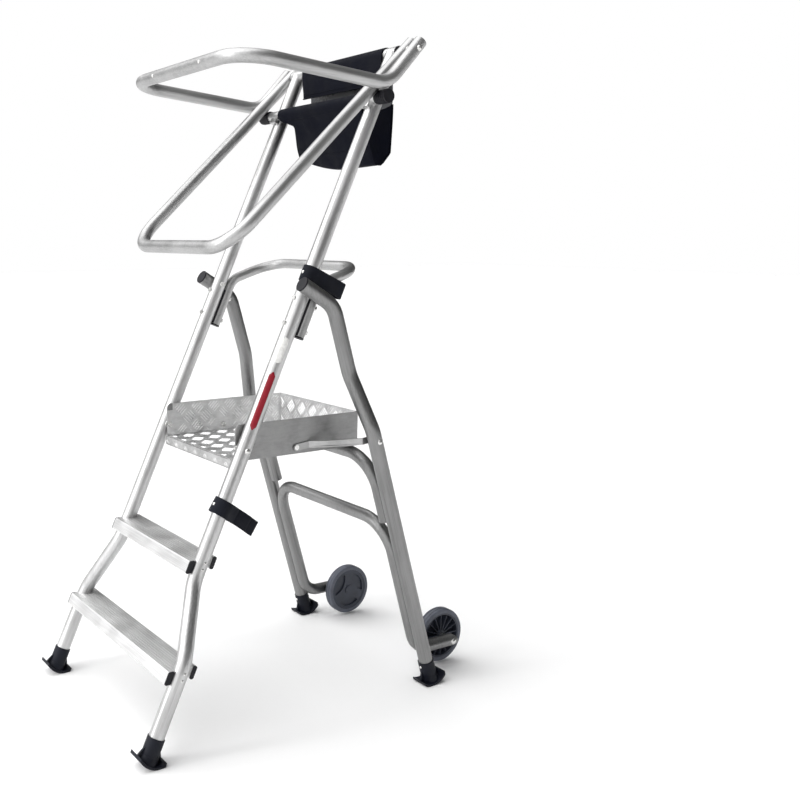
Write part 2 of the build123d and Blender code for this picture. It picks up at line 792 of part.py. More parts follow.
def link_bolt():
    """The link's bolt through the rear leg; its inner end stops flush with the leg."""
    outside = rear_leg_half_low + stile_radius
    head = dome((outside, *link_pivot), (1, 0, 0), link_pin_diameter + 6, 4.0)
    shank = x_pin(rear_leg_half_low - stile_radius - 0.5, outside, link_pivot, link_pin_diameter)
    return head + shank


keep("link_bolts", both_sides(link_bolt()))

# ---------------------------------------------------------------- wheels
tyre_depth = 13.0
hub_rim = 5.0
rib_count = 16
boss_radius = 14.0
boss_cap = 3.0
window_count = 3
wheel_inner = wheel_half_track - wheel_width / 2
wheel_outer = wheel_half_track + wheel_width / 2
rim_radius = wheel_radius - tyre_depth


def ring(x_from, x_to, outer, inner):
    """A flat ring round the axle."""
    return x_pin(x_from, x_to, axle_at, 2 * outer) - x_pin(x_from - 1, x_to + 1, axle_at, 2 * inner)


def tyre():
    """A solid rubber tyre with rounded shoulders and two shallow grooves."""
    band = ring(wheel_inner, wheel_outer, wheel_radius, rim_radius)
    band = fillet(band.edges().filter_by(GeomType.CIRCLE).sort_by(SortBy.RADIUS)[-2:], 5.0)
    for x in (wheel_half_track - 6, wheel_half_track + 6):
        band -= ring(x - 1, x + 1, wheel_radius + 1, wheel_radius - 1.5)
    return band


def window(index):
    """One of the three lens-shaped recesses on the inner face."""
    lens = Circle(56) & Pos(76, 0) * Circle(50)
    cutter = extrude(Plane.YZ * lens, 7.0)
    return Pos(wheel_inner + 0.5, *axle_at) * Rot(index * 360 / window_count + 30, 0, 0) * cutter


def hub():
    """A moulded hub: rim, web with three recesses inside, thin ribs outside, and a closed boss."""
    shape = ring(wheel_inner + 1, wheel_outer - 1, rim_radius - 0.2, rim_radius - hub_rim)
    shape += ring(wheel_inner + 2, wheel_inner + 9, rim_radius - hub_rim + 1, boss_radius - 1)
    shape += ring(wheel_inner - 1, wheel_outer - 2, boss_radius, axle_diameter / 2 + pin_clearance)
    shape += x_pin(wheel_inner - 1, wheel_inner + boss_cap - 1, axle_at, 2 * boss_radius)
    rib_height = rim_radius - hub_rim - boss_radius + 2
    rib_middle = boss_radius - 1 + rib_height / 2
    rib_width = wheel_width - 11
    for index in range(rib_count):
        rib = Pos(wheel_inner + 8 + rib_width / 2, 0, rib_middle) * Box(rib_width, 1.8, rib_height)
        shape += Pos(0, *axle_at) * Rot(index * 360 / rib_count, 0, 0) * rib
    for index in range(window_count):
        shape -= window(index)
    return shape


def axle():
    """The axle bolt: a round head outside the hoop, a collar, and a shank into the hub's boss."""
    tube_outside = hoop_half + rail_radius
    shank = x_pin(wheel_inner + boss_cap - 0.5, tube_outside, axle_at, axle_diameter)
    head = dome((tube_outside, *axle_at), (1, 0, 0), 18.0, 5.0)
    collar = x_pin(wheel_outer - 1, hoop_half - rail_radius, axle_at, axle_diameter + 8)
    return shank + head + collar


right_tyre = tyre()
right_hub = hub()
keep("tyre_right", right_tyre)
keep("tyre_left", mirrored(right_tyre))
keep("hub_right", right_hub)
keep("hub_left", mirrored(right_hub))
keep("wheel_axles", both_sides(axle()))

# ---------------------------------------------------------------- guardrails
arm = radians(upper_rail_arm_angle)
upper_bend = (top_pivot[0] - upper_rail_arm * cos(arm), top_pivot[1] - upper_rail_arm * sin(arm))
upper_tip = (top_pivot[0] + upper_rail_tail * cos(arm), top_pivot[1] + upper_rail_tail * sin(arm))
lower_corner = beside_stile(
    lower_rail_length * cos(radians(lower_rail_angle)),
    lower_rail_length * sin(radians(lower_rail_angle)),
)
lower_tip = beside_stile(
    -lower_rail_tail * cos(radians(lower_rail_angle)),
    -lower_rail_tail * sin(radians(lower_rail_angle)),
)
upper_front = (upper_rail_front, upper_rail_height)
rail_bore = pivot_bolt_diameter + 2 * pin_clearance

upper_points = [
    (upper_rail_half, *upper_tip),
    (upper_rail_half, *upper_bend),
    (upper_rail_half, *upper_front),
    (-upper_rail_half, *upper_front),
    (-upper_rail_half, *upper_bend),
    (-upper_rail_half, *upper_tip),
]
lower_points = [
    (lower_rail_half, *lower_tip),
    (lower_rail_half, *lower_corner),
    (-lower_rail_half, *lower_corner),
    (-lower_rail_half, *lower_tip),
]


def guardrail(points, radii):
    """A bent rail, bored through both tails for the pivot bolts."""
    return tube(points, radii, rail_diameter) - x_pin(-600, 600, top_pivot, rail_bore)


keep("guardrail_upper", guardrail(upper_points, [80.0, 100.0, 100.0, 80.0]))
keep("guardrail_lower", guardrail(lower_points, [95.0, 95.0]))

rail_rivet_half = 128.0
front_of_rail = (0, -1, 0)
keep(
    "guardrail_rivets",
    both_sides(dome((rail_rivet_half, upper_rail_front - rail_radius, upper_rail_height), front_of_rail, 9.0, 2.5)),
)

# ---------------------------------------------------------------- pivot bolts and washers
washer_diameter = 22.0
head_height = 5.0
head_flats = 15.0


def rail_pivot():
    """The bolt on which both guardrails turn, with its head outside the upper rail."""
    outside = upper_rail_half + rail_radius
    shank = x_pin(crossbar_half - plug_length, outside + 1, top_pivot, pivot_bolt_diameter)
    return shank + dome((outside + 1, *top_pivot), (1, 0, 0), head_flats, head_height)


def rail_washer():
    """The spacer between the two rails."""
    start = lower_rail_half + rail_radius + running_gap
    end = upper_rail_half - rail_radius - running_gap
    return x_pin(start, end, top_pivot, washer_diameter) - x_pin(start - 1, end + 1, top_pivot, pivot_bolt_diameter)


def rear_pivot_bolt():
    """The bolt on which the rear frame folds: through the stile, its nut inside the leg."""
    leg_wall = rear_leg_half_high - stile_radius + tube_wall
    inside = stile_half_high - stile_radius
    shank = x_pin(inside, leg_wall + 3, rear_pivot, pivot_bolt_diameter)
    nut = hex_head(leg_wall + 3, leg_wall + 3 + head_height, rear_pivot, head_flats)
    return shank + nut + hex_head(inside - head_height, inside, rear_pivot, head_flats)


def platform_pivot_bolt():
    """The bolt on which the platform folds, through the stile and the toe board."""
    outside = stile_half_high + stile_radius
    inside = platform_walls - 1
    shank = x_pin(inside, outside, platform_pivot, pivot_bolt_diameter)
    nut = hex_head(inside - 6, inside, platform_pivot, head_flats)
    return shank + nut + dome((outside, *platform_pivot), (1, 0, 0), head_flats, head_height)


def spacer(x_from, x_to, at):
    """A thick washer that keeps a turning part off the stile."""
    return x_pin(x_from, x_to, at, washer_diameter) - x_pin(x_from - 1, x_to + 1, at, pivot_bolt_diameter)


keep("guardrail_pivot_bolts", both_sides(rail_pivot()))
keep("guardrail_washers", both_sides(rail_washer()))
keep("rear_frame_bolts", both_sides(rear_pivot_bolt()))
keep("platform_bolts", both_sides(platform_pivot_bolt()))
rear_gap = (stile_half_high + stile_radius, rear_leg_half_high - stile_radius - running_gap)
keep("rear_frame_washers", both_sides(spacer(*rear_gap, rear_pivot)))
platform_gap = (platform_half_width + running_gap, stile_half_high - stile_radius)
keep("platform_washers", both_sides(spacer(*platform_gap, platform_pivot)))

# ---------------------------------------------------------------- output
os.makedirs("parts", exist_ok=True)
for node_name, node_shape in nodes.items():
    export_step(node_shape, f"parts/{node_name}.step")
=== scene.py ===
import math

import bmesh
import bpy
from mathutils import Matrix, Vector, noise


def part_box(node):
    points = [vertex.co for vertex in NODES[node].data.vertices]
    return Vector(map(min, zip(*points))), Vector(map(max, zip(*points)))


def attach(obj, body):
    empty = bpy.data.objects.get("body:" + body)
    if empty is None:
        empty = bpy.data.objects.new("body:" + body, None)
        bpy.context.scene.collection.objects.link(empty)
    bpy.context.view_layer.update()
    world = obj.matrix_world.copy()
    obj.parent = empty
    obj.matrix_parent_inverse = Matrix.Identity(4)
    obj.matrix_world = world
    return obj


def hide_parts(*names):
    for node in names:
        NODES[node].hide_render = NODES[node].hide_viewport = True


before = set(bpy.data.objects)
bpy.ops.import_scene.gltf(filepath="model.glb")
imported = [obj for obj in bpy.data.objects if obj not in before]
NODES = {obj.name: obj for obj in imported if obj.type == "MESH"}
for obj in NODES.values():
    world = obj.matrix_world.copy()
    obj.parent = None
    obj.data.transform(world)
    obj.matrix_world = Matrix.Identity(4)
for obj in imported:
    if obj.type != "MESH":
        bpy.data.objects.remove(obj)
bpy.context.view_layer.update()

X, Y, Z = Vector((1, 0, 0)), Vector((0, 1, 0)), Vector((0, 0, 1))

# ------------------------------------------------------------------ camera
# The photograph's own viewpoint, in metres, degrees and millimetres of lens.
CAMERA_PLACE = (2.3192, -1.4953, 1.2661)
CAMERA_AZIMUTH = 59.1
CAMERA_PITCH = -7.3
CAMERA_LENS = 44.24
CAMERA_SHIFT = (0.2105, -0.0474)

camera_data = bpy.data.cameras.new("camera")
camera_data.lens = CAMERA_LENS
camera_data.sensor_width = 36.0
camera_data.shift_x, camera_data.shift_y = CAMERA_SHIFT
camera_data.clip_end = 60.0
camera = bpy.data.objects.new("camera", camera_data)
camera.location = CAMERA_PLACE
camera.rotation_euler = (math.radians(90.0 + CAMERA_PITCH), 0.0, math.radians(CAMERA_AZIMUTH))
bpy.context.scene.collection.objects.link(camera)
bpy.context.scene.camera = camera


# ------------------------------------------------------------------ node helpers
# The band that a noise texture's value mostly stays in.
NOISE_WINDOW = (0.35, 0.65)
STREAKS_PER_METRE = 260.0
# A wave texture's scale times the distance between its bands.
WAVE_UNIT = 0.314


class Nodes:
    """A small builder for one material's node tree."""

    def __init__(self, name):
        self.material = bpy.data.materials.new(name)
        self.material.use_nodes = True
        self.tree = self.material.node_tree
        self.shader = self.tree.nodes["Principled BSDF"]
        self.place = None

    def add(self, kind, **settings):
        """A new node, with the given properties set."""
        node = self.tree.nodes.new(kind)
        for key, value in settings.items():
            setattr(node, key, value)
        return node

    def link(self, output, target):
        """Joins an output to an input."""
        self.tree.links.new(output, target)

    def coordinates(self, scale=(1, 1, 1), turn=(0, 0, 0)):
        """Object coordinates, turned and then scaled, so that a pattern can follow a slanted tube."""
        if self.place is None:
            self.place = self.add("ShaderNodeTexCoord")
        mapping = self.add("ShaderNodeMapping")
        mapping.vector_type = "TEXTURE"
        mapping.inputs["Scale"].default_value = [1.0 / s for s in scale]
        mapping.inputs["Rotation"].default_value = [-t for t in turn]
        self.link(self.place.outputs["Object"], mapping.inputs["Vector"])
        return mapping.outputs["Vector"]

    def noise(self, scale, detail=3.0, vector=None, roughness=0.55):
        """A noise value over the object."""
        node = self.add("ShaderNodeTexNoise")
        node.inputs["Scale"].default_value = scale
        node.inputs["Detail"].default_value = detail
        node.inputs["Roughness"].default_value = roughness
        self.link(vector or self.coordinates(), node.inputs["Vector"])
        return node.outputs["Fac"]

    def ramp(self, value, stops):
        """A colour from a value, through (place, colour) stops."""
        node = self.add("ShaderNodeValToRGB")
        ramp = node.color_ramp
        while len(ramp.elements) < len(stops):
            ramp.elements.new(0.5)
        for element, (place, colour) in zip(ramp.elements, stops):
            element.position = place
            element.color = (*colour, 1.0)
        self.link(value, node.inputs["Fac"])
        return node.outputs["Color"]

    def roughness(self, value, limits, window=NOISE_WINDOW):
        """Roughness between two limits, as a noise value runs through its window."""
        node = self.add("ShaderNodeMapRange")
        for key, number in zip(("From Min", "From Max", "To Min", "To Max"), (*window, *limits)):
            node.inputs[key].default_value = number
        self.link(value, node.inputs["Value"])
        self.link(node.outputs["Result"], self.shader.inputs["Roughness"])

    def colour(self, value, stops):
        """Base colour from a value through a ramp of (place, colour) stops."""
        self.link(self.ramp(value, stops), self.shader.inputs["Base Color"])

    def blend(self, first, share, second):
        """A weighted sum of two values, with weights that add up to one."""
        weighted = self.maths("MULTIPLY", first, share)
        rest = self.maths("MULTIPLY", second, 1 - share)
        return self.maths("ADD", weighted, rest)

    def maths(self, operation, a, b):
        """One arithmetic step on two values or numbers."""
        node = self.add("ShaderNodeMath", operation=operation)
        for socket, value in zip(node.inputs, (a, b)):
            if isinstance(value, (int, float)):
                socket.default_value = value
            else:
                self.link(value, socket)
        return node.outputs["Value"]

    def bump(self, height, strength, distance, under=None):
        """Surface relief from a height value, over another relief if one is given."""
        node = self.add("ShaderNodeBump")
        node.inputs["Strength"].default_value = strength
        node.inputs["Distance"].default_value = distance
        self.link(height, node.inputs["Height"])
        if under is not None:
            self.link(under, node.inputs["Normal"])
        self.link(node.outputs["Normal"], self.shader.inputs["Normal"])
        return node.outputs["Normal"]

    def fix(self, **values):
        """Constants of the shader."""
        names = {
            "metallic": "Metallic",
            "roughness": "Roughness",
            "colour": "Base Color",
            "sheen": "Sheen Weight",
            "sheen_roughness": "Sheen Roughness",
            "specular": "Specular IOR Level",
        }
        for key, value in values.items():
            socket = self.shader.inputs[names[key]]
            socket.default_value = (*value, 1.0) if key == "colour" else value


def grey(level):
    """A neutral colour."""
    return (level, level, level)


def aluminium(name, lean, level, rough):
    """Bright aluminium: fine drawn streaks along a tube that leans back, over a soft mottling."""
    m = Nodes(name)
    m.fix(metallic=1.0)
    turn = (math.radians(lean), 0, 0)
    fine = m.noise(STREAKS_PER_METRE, 4.0, m.coordinates((1.0, 1.0, 0.02), turn), 0.7)
    soft = m.noise(9.0, 4.0, m.coordinates((1.0, 1.0, 0.45), turn))
    worn = m.blend(fine, 0.45, soft)
    m.roughness(worn, rough)
    m.colour(worn, [(0.32, grey(level * 0.66)), (0.50, grey(level)), (0.68, grey(level * 1.22))])
    m.bump(soft, 0.12, 0.0004)
    return m.material


def rolled_sheet(name, level, rough):
    """Rolled aluminium sheet: cloudy oxide, small scuffs and a faint rolling direction."""
    m = Nodes(name)
    m.fix(metallic=1.0)
    cloud = m.noise(16.0, 5.0)
    scuff = m.noise(90.0, 5.0, m.coordinates((1.0, 0.25, 1.0)), 0.75)
    worn = m.blend(cloud, 0.6, scuff)
    m.roughness(worn, rough)
    m.colour(worn, [(0.32, grey(level * 0.72)), (0.5, grey(level)), (0.68, grey(level * 1.22))])
    m.bump(scuff, 0.2, 0.0003)
    return m.material


def tread_metal(name, level):
    """Satin extruded aluminium with hairlines running across the ladder."""
    m = Nodes(name)
    m.fix(metallic=1.0)
    hair = m.noise(420.0, 3.0, m.coordinates((0.02, 1.0, 1.0)), 0.7)
    m.roughness(m.noise(14.0, 4.0), (0.36, 0.5))
    m.colour(hair, [(0.3, grey(level * 0.86)), (0.7, grey(level * 1.12))])
    m.bump(hair, 0.3, 0.0003)
    return m.material


def plastic(name, colour, rough, grain, depth, specular):
    """Moulded plastic or rubber with a fine grain and a slightly uneven finish."""
    m = Nodes(name)
    m.fix(specular=specular)
    soft = m.noise(28.0, 3.0)
    m.roughness(soft, rough)
    m.colour(soft, [(0.35, colour), (0.7, [c * 1.45 + 0.002 for c in colour])])
    m.bump(m.noise(grain, 2.0), 0.35, depth)
    return m.material


def zinc(name):
    """Zinc-plated steel: bright, with a faint cloudy passivation."""
    m = Nodes(name)
    m.fix(metallic=1.0)
    cloud = m.noise(120.0, 3.0)
    m.roughness(cloud, (0.18, 0.34))
    m.colour(cloud, [(0.3, (0.62, 0.62, 0.6)), (0.7, (0.85, 0.85, 0.84))])
    return m.material


def weave(name, colour, thread, rough, gloss, sheen=0.0, lean=0.0):
    """Woven fabric: two crossing sets of threads over slow colour variation."""
    m = Nodes(name)
    m.fix(specular=gloss, sheen=sheen, sheen_roughness=0.5)
    threads = []
    for direction in ("X", "Z"):
        wave = m.add("ShaderNodeTexWave", bands_direction=direction)
        wave.inputs["Scale"].default_value = WAVE_UNIT / thread
        wave.inputs["Distortion"].default_value = 0.4
        m.link(m.coordinates((1, 1, 1), (math.radians(lean), 0, 0)), wave.inputs["Vector"])
        threads.append(wave.outputs["Fac"])
    cloth = m.maths("MULTIPLY", *threads)
    soft = m.noise(22.0, 4.0)
    m.colour(m.blend(cloth, 0.35, soft), [(0.25, colour), (0.75, [c * 1.7 + 0.0012 for c in colour])])
    m.roughness(soft, rough)
    folds = m.bump(m.noise(34.0, 3.0), 0.25, 0.002)
    m.bump(cloth, 0.5, 0.0003, folds)
    return m.material


def printed(name, colour):
    """A plain printed film with slight wear."""
    m = Nodes(name)
    m.fix(specular=0.45)
    worn = m.noise(160.0, 4.0)
    m.colour(worn, [(0.3, [c * 0.8 for c in colour]), (0.6, colour)])
    m.roughness(worn, (0.3, 0.45), (0.3, 0.7))
    return m.material


# How far the tubes lean back from upright, in degrees.
STILE_LEAN, LEG_LEAN, UPPER_RAIL_LEAN, LOWER_RAIL_LEAN, KNEE_LEAN = 24.5, -16.8, 91.0, 46.75, 75.0
M = {
    "stile": aluminium("drawn_tube_stile", STILE_LEAN, 0.57, (0.32, 0.42)),
    "leg": aluminium("drawn_tube_leg", LEG_LEAN, 0.26, (0.34, 0.46)),
    "upper_rail": aluminium("drawn_tube_upper_rail", UPPER_RAIL_LEAN, 0.46, (0.38, 0.48)),
    "lower_rail": aluminium("drawn_tube_lower_rail", LOWER_RAIL_LEAN, 0.46, (0.36, 0.48)),
    "knee": aluminium("drawn_tube_knee_hoop", KNEE_LEAN, 0.46, (0.38, 0.48)),
    # The platform's one rolled sheet at four levels, as painted shade and painted light: darkest on the
    # outer faces, lighter on the front lip, lighter still on the inner faces, lightest on the raised bars.
    "plate": rolled_sheet("rolled_tread_plate", 0.31, (0.36, 0.50)),
    "inner": rolled_sheet("rolled_plate_inner_painted_light", 0.74, (0.36, 0.48)),
    "bars": rolled_sheet("raised_bars_painted_highlight", 0.86, (0.26, 0.36)),
    "lip": rolled_sheet("rolled_lip", 0.50, (0.34, 0.46)),
    "link": rolled_sheet("cut_link_bar", 0.42, (0.28, 0.46)),
    "tread": tread_metal("extruded_tread", 0.72),
    "zinc": zinc("zinc_plate"),
    "plug": plastic("black_plastic", (0.006, 0.006, 0.009), (0.42, 0.6), 900.0, 0.00012, 0.3),
    "foot": plastic("foot_rubber", (0.003, 0.004, 0.009), (0.42, 0.58), 700.0, 0.0002, 0.24),
    "tyre": plastic("tyre_rubber", (0.085, 0.092, 0.115), (0.48, 0.62), 600.0, 0.0002, 0.4),
    "hub": plastic("hub_plastic", (0.030, 0.035, 0.050), (0.30, 0.44), 900.0, 0.00012, 0.4),
    "cloth": weave("coated_cloth", (0.0012, 0.0017, 0.0052), 0.0011, (0.6, 0.78), 0.09),
    "coating": weave("cloth_coated_side", (0.045, 0.047, 0.054), 0.0011, (0.22, 0.36), 0.9),
    "webbing": weave("hook_and_loop_tape", (0.0045, 0.0055, 0.010), 0.0016, (0.7, 0.9), 0.2,
                     sheen=0.03, lean=STILE_LEAN),
    "white_film": printed("white_film", (0.82, 0.82, 0.80)),
    "red_film": printed("red_film", (0.27, 0.004, 0.016)),
}


def dress(material, *nodes):
    """Gives CAD nodes their material."""
    for node in nodes:
        for material_slot in NODES[node].material_slots:
            material_slot.material = material


dress(M["stile"], "stile_left", "stile_right", "top_crossbar", "lower_crossbar", "crossbar_saddles")
dress(M["leg"], "rear_leg_left", "rear_leg_right", "platform_hoop", "wheel_hoop", "wheel_hoop_plugs")
dress(M["upper_rail"], "guardrail_upper")
dress(M["lower_rail"], "guardrail_lower")
dress(M["knee"], "knee_hoop")
dress(M["plate"], "platform_tray")
dress(M["link"], "link_left", "link_right")
dress(M["tread"], "tread_lower", "tread_upper")
dress(M["zinc"], "guardrail_pivot_bolts", "guardrail_washers", "rear_frame_bolts", "rear_frame_washers",
      "platform_bolts", "platform_washers", "link_bolts", "link_hinge_pins", "wheel_axles",
      "knee_hoop_bolts", "tread_rivets", "front_foot_rivets", "rear_foot_rivets", "strap_rivets",
      "guardrail_rivets")
dress(M["plug"], "top_crossbar_plugs", "lower_crossbar_caps", "tread_end_caps", "knee_hoop_plugs",
      "knee_hoop_spacers", "rear_leg_plugs", "strap_upper", "strap_lower", "tool_tray")
dress(M["foot"], "front_foot_left", "front_foot_right", "rear_foot_left", "rear_foot_right")
dress(M["tyre"], "tyre_left", "tyre_right")
dress(M["hub"], "hub_left", "hub_right")


# ------------------------------------------------------------------ mesh helpers
def piece(name, verts, faces, body, slot, *materials, smooth=True):
    """A new mesh object that rides on a body and takes the given materials."""
    mesh = bpy.data.meshes.new(name)
    mesh.from_pydata([tuple(v) for v in verts], [], faces)
    for material in materials:
        mesh.materials.append(material)
    shape = bmesh.new()
    shape.from_mesh(mesh)
    bmesh.ops.recalc_face_normals(shape, faces=shape.faces)
    shape.to_mesh(mesh)
    shape.free()
    for polygon in mesh.polygons:
        polygon.use_smooth = smooth
    obj = bpy.data.objects.new(name, mesh)
    bpy.context.scene.collection.objects.link(obj)
    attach(obj, body)
    return obj


def middle(node):
    """The middle of a node's box, from its lowest and highest corners."""
    low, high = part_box(node)
    return (Vector(low) + Vector(high)) / 2


# ------------------------------------------------------------------ raised bars on the platform plate
PLATE_LOW, PLATE_HIGH = (Vector(c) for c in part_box("platform_tray"))
SHEET = 0.003
BAR_LENGTH = 0.0335
BAR_WIDTH = 0.0042
BAR_HEIGHT = 0.0011
# A group of bars side by side. Bars get shorter by a share of the middle one's length with every step out.
BARS_IN_GROUP = 5
BAR_SPACING = 0.0074
OUTER_SHORTER = 0.05
GROUP_PITCH = 0.056
GROUP_TURN = 45
# A bar that a panel's edge cuts shorter than this is left out.
SHORTEST_BAR = 0.011
BOLT_CLEARANCE = 0.034
SKIN = 0.00015
# A bar's foot and ridge: the tapers at their ends, their half widths as shares of the bar's width,
# and how far the foot sinks into the plate as a share of the bar's height.
END_TAPER, RIDGE_INSET, RIDGE_TAPER = 0.004, 0.003, 0.002
FOOT_HALF, RIDGE_HALF = 0.5, 0.17
FOOT_SINK = -0.2


def hexagon(end, shoulder, half):
    """A long flat hexagon, as distances along and across."""
    return ((end, 0.0), (shoulder, half), (-shoulder, half),
            (-end, 0.0), (-shoulder, -half), (shoulder, -half))


def raised_bar(centre, along, across, out, length, verts, faces):
    """One low bar with tapered ends, standing on a surface."""
    first = len(verts)
    end, ridge = length / 2, length / 2 - RIDGE_INSET
    foot = hexagon(end, end - END_TAPER, FOOT_HALF)
    crest = hexagon(ridge, ridge - RIDGE_TAPER, RIDGE_HALF)
    for ring, rise in ((foot, FOOT_SINK), (crest, 1.0)):
        for a, b in ring:
            verts.append(centre + along * a + across * (b * BAR_WIDTH) + out * (rise * BAR_HEIGHT))
    for k in range(6):
        n = (k + 1) % 6
        faces.append((first + k, first + n, first + 6 + n, first + 6 + k))
    faces.append(tuple(first + 6 + k for k in range(6)))
    faces.append(tuple(first + 5 - k for k in range(6)))


def slab(origin, u, v, out, wide, high, verts, faces):
    """A very thin plate over a flat panel, so that its patterned side takes a lighter copy of the plate's
    finish: painted light.
    """
    first = len(verts)
    for rise in (-SKIN, SKIN):
        for a, b in ((0.0, 0.0), (wide, 0.0), (wide, high), (0.0, high)):
            verts.append(origin + u * a + v * b + out * rise)
    for face in ((3, 2, 1, 0), (4, 5, 6, 7), (0, 1, 5, 4), (1, 2, 6, 5), (2, 3, 7, 6), (3, 0, 4, 7)):
        faces.append(tuple(first + k for k in face))


def clipped(place, direction, half, wide, high):
    """The part of a slanted line inside a rectangle, as distances from its middle, or None."""
    low, top = -half, half
    for position, slope, size in ((place.x, direction.x, wide), (place.y, direction.y, high)):
        ends = sorted((-position / slope, (size - position) / slope))
        low, top = max(low, ends[0]), min(top, ends[1])
    return (low, top) if top - low > SHORTEST_BAR else None


def bar_field(origin, u, v, out, wide, high, verts, faces, holes=(), start=(0.0, 0.0)):
    """Diamond cells of parallel bars over a flat panel, each row turned a quarter from the next."""
    columns, rows = int(wide / GROUP_PITCH) + 2, int(high / GROUP_PITCH) + 2
    cells = [(i, j, GROUP_TURN) for i in range(-1, columns) for j in range(-1, rows)]
    cells += [(i + 0.5, j + 0.5, -GROUP_TURN) for i in range(-1, columns) for j in range(-1, rows)]
    for i, j, turn in cells:
        slant = math.radians(turn)
        direction = Vector((math.cos(slant), math.sin(slant)))
        sideways = Vector((-direction.y, direction.x))
        cell = Vector((i * GROUP_PITCH + start[0], j * GROUP_PITCH + start[1]))
        for k in range(BARS_IN_GROUP):
            offset = k - (BARS_IN_GROUP - 1) / 2
            place = cell + sideways * (offset * BAR_SPACING)
            half = BAR_LENGTH / 2 * (1.0 - OUTER_SHORTER * abs(offset))
            part = clipped(place, direction, half, wide, high)
            if part is None:
                continue
            place += direction * ((part[0] + part[1]) / 2)
            centre = origin + u * place.x + v * place.y
            along = u * direction.x + v * direction.y
            across = u * sideways.x + v * sideways.y
            if all((centre - hole).length > BOLT_CLEARANCE for hole in holes):
                raised_bar(centre, along, across, out, part[1] - part[0], verts, faces)


TOE_BOARD = 0.093
DECK_TOP = PLATE_HIGH.z - TOE_BOARD
# Plain margins of the pattern, and where the side boards reach their full height behind the front edge.
INSET = 0.004
LIP_EDGE = 0.002
BOARD_START = 5 * INSET
HALF_PITCH = 0.5 * GROUP_PITCH
SIDE_ROW_START = 0.3 * GROUP_PITCH
PIN_PLACES = (middle("platform_bolts"), middle("link_hinge_pins"))


def plate_pattern():
    """Raised bars on the deck, on the inner faces of the toe boards and on the front lip."""
    left, right = PLATE_LOW.x + SHEET, PLATE_HIGH.x - SHEET
    front, back = PLATE_LOW.y, PLATE_HIGH.y - SHEET
    wide, deep = right - left - 2 * INSET, back - front - 3 * INSET
    tall = TOE_BOARD - 2 * INSET
    lip_low = PLATE_LOW.z + LIP_EDGE
    lip = DECK_TOP - SHEET - lip_low
    sides = ((left, X), (right, -X))

    verts, faces = [], []
    deck_corner = Vector((left + INSET, front + 2 * INSET, DECK_TOP))
    bar_field(deck_corner, X, Y, Z, wide, deep, verts, faces, start=(HALF_PITCH, -2 * INSET))
    rear_corner = Vector((left + INSET, back, DECK_TOP + INSET))
    bar_field(rear_corner, X, Z, -Y, wide, tall, verts, faces, start=(HALF_PITCH, HALF_PITCH))
    for x, out in sides:
        holes = [Vector((x, place.y, place.z)) for place in PIN_PLACES]
        corner = Vector((x, front + BOARD_START, DECK_TOP + INSET))
        bar_field(corner, Y, Z, out, deep - 3 * INSET, tall, verts, faces, holes,
                  start=(HALF_PITCH, SIDE_ROW_START))
    # The raised bars take the lightest copy of the sheet: painted highlight.
    piece("platform_raised_bars", verts, faces, "platform", "tread_plate", M["bars"], smooth=False)

    verts, faces = [], []
    lip_corner = Vector((left, front, lip_low))
    slab(lip_corner, X, Z, -Y, right - left, lip, verts, faces)
    bar_field(lip_corner, X, Z, -Y, right - left, lip, verts, faces, start=(HALF_PITCH, lip))
    piece("platform_lip_bars", verts, faces, "platform", "tread_plate", M["lip"], smooth=False)

    verts, faces = [], []
    slab(Vector((left, front, DECK_TOP)), X, Y, Z, right - left, back - front, verts, faces)
    slab(Vector((left, back, DECK_TOP)), X, Z, -Y, right - left, TOE_BOARD, verts, faces)
    low_start = 0.5 * INSET
    for x, out in sides:
        slab(Vector((x, front + BOARD_START, DECK_TOP)), Y, Z, out,
             back - front - BOARD_START, TOE_BOARD, verts, faces)
        slab(Vector((x, front + low_start, DECK_TOP)), Y, Z, out,
             BOARD_START - low_start, TOE_BOARD - BOARD_START, verts, faces)
    # The inner faces of the deck and toe boards take a lighter copy of the sheet than the outer faces:
    # painted light.
    piece("platform_inner_faces", verts, faces, "platform", "tread_plate", M["inner"], smooth=False)


plate_pattern()

# ------------------------------------------------------------------ fabric tool tray
BAR_TOP, BAR_LOW = middle("top_crossbar"), middle("lower_crossbar")
TRAY_LOW, TRAY_HIGH = (Vector(c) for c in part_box("tool_tray"))
CLOTH = 0.0026
TOP_WRAP = 0.0198
LOW_WRAP = 0.0173
FLAP = 0.077
FLOOR_FRONT_Y = TRAY_LOW.y + 0.0656
FLOOR_Z = TRAY_LOW.z + 0.003
REAR_RISE = 0.030
REAR_CLEARANCE = 0.003
HEM_STAND_OFF = 0.002
# Where the cloth lies on the bars: first and last angle from straight back, and the number of points.
TOP_ARC, LOW_ARC = (180, 0, 13), (205, -80, 15)
# The rounding of the bottom corners, and the rows of points on the flap, the back, a panel, the floor
# and the front corner.
ROUNDING = 0.004
FLAP_ROWS, BACK_ROWS, PANEL_ROWS, FLOOR_ROWS, CORNER_ROWS = 7, 8, 12, 4, 2
# How far the cloth reaches to the left and the right of the middle, and how that grows up a panel.
FLAP_LEFT, FLAP_TAPER, BACK_LEFT, TOP_RIGHT = -0.176, 0.014, -0.186, 0.1955
REAR_LEFT, REAR_LEFT_GROWTH, REAR_RIGHT, REAR_RIGHT_GROWTH = -0.170, -0.016, 0.187, 0.008
FRONT_LEFT, FRONT_LEFT_GROWTH, FRONT_RIGHT, FRONT_RIGHT_GROWTH = -0.170, 0.048, 0.183, 0.010
# The front panel widens again over its last stretch, below the lower crossbar.
NECK_LEFT_GROWTH, NECK_RIGHT_GROWTH = -0.074, 0.002
NECK_START, NECK_END = BAR_LOW.z - 0.038, BAR_LOW.z - 0.012
